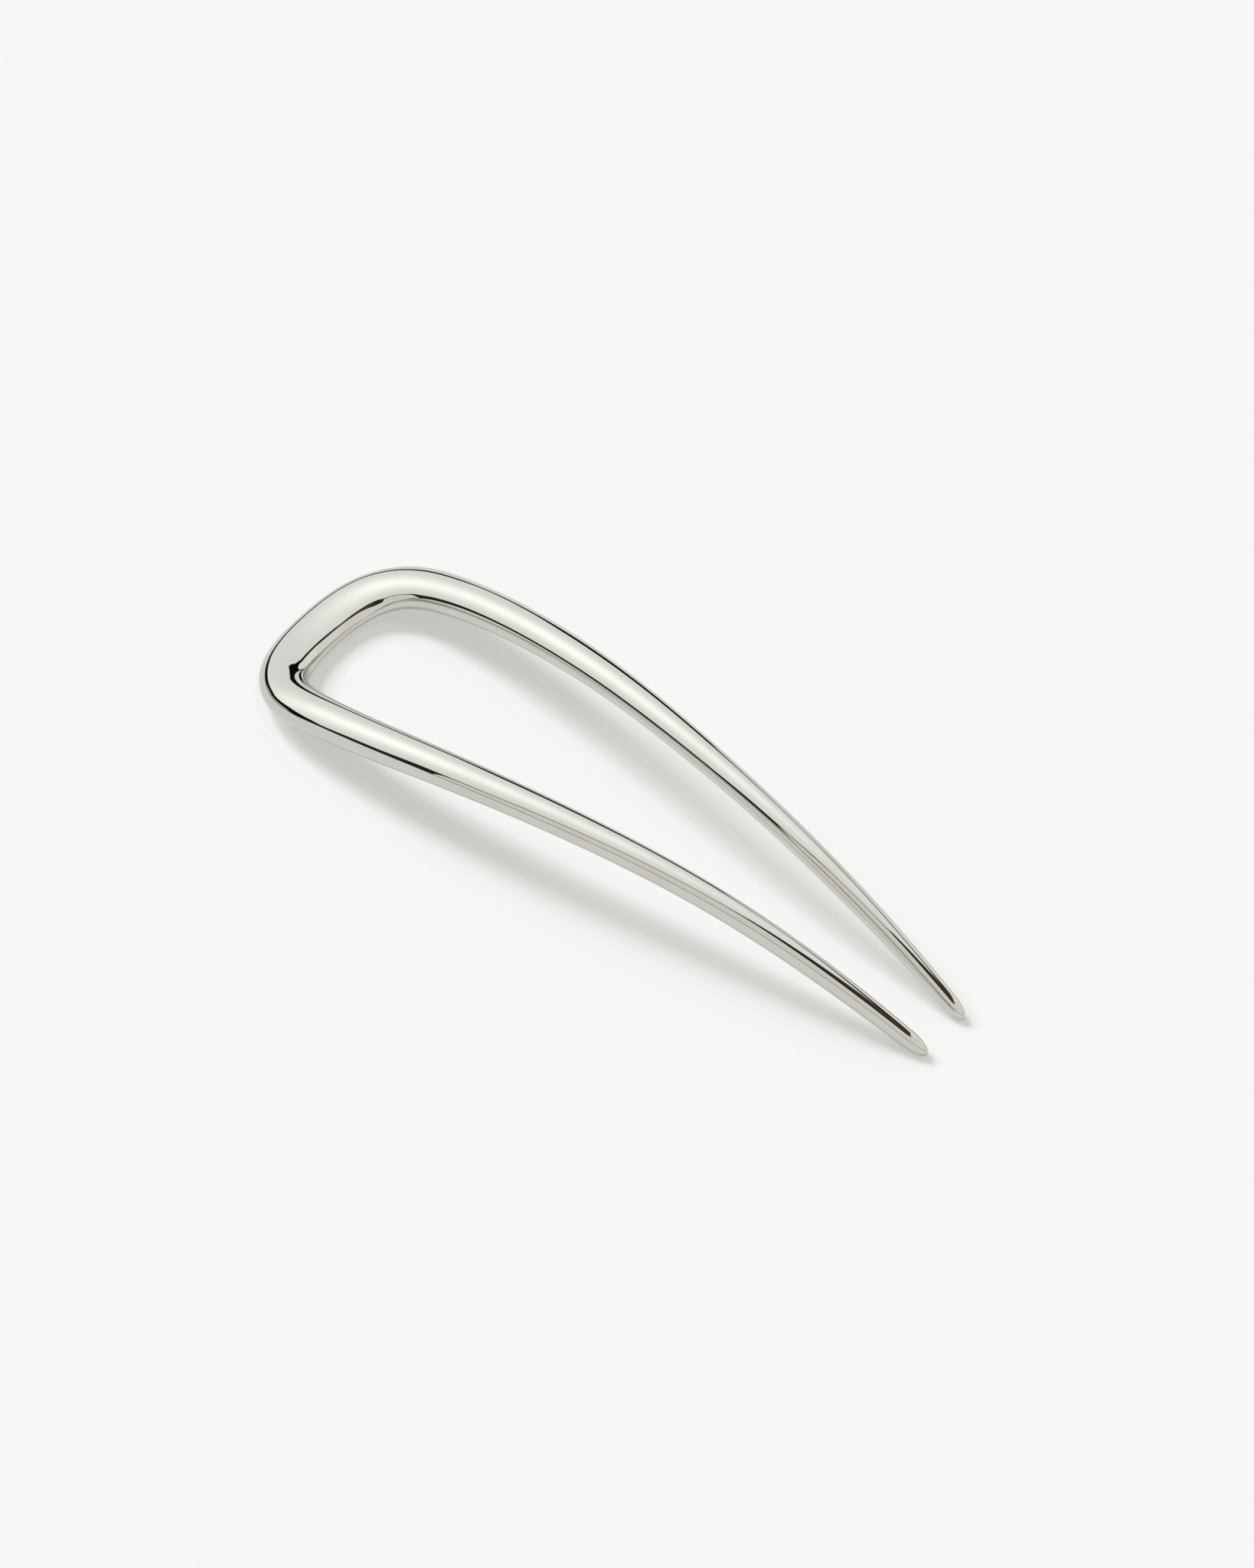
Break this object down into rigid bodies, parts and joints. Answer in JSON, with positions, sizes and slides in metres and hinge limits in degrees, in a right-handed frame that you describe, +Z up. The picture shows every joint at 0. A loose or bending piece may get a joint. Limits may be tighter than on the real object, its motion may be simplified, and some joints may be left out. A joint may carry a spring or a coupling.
{
  "type": "french hair pin",
  "caption": "Polished metal french hair pin: a long arched U with a broad flat bow and tines that taper and draw together to rounded tips.",
  "frame": {"origin": "middle of the pin's length and width, on the surface that it lies on", "axes": "+X from the bow to the tips, +Y across the pin, +Z up from the surface"},
  "size_m": [0.11, 0.033, 0.0136],
  "materials": {
    "polished_metal": "mirror polish"
  },
  "bodies": {
    "root": {"hair_pin": "polished_metal"}
  },
  "joints": []
}
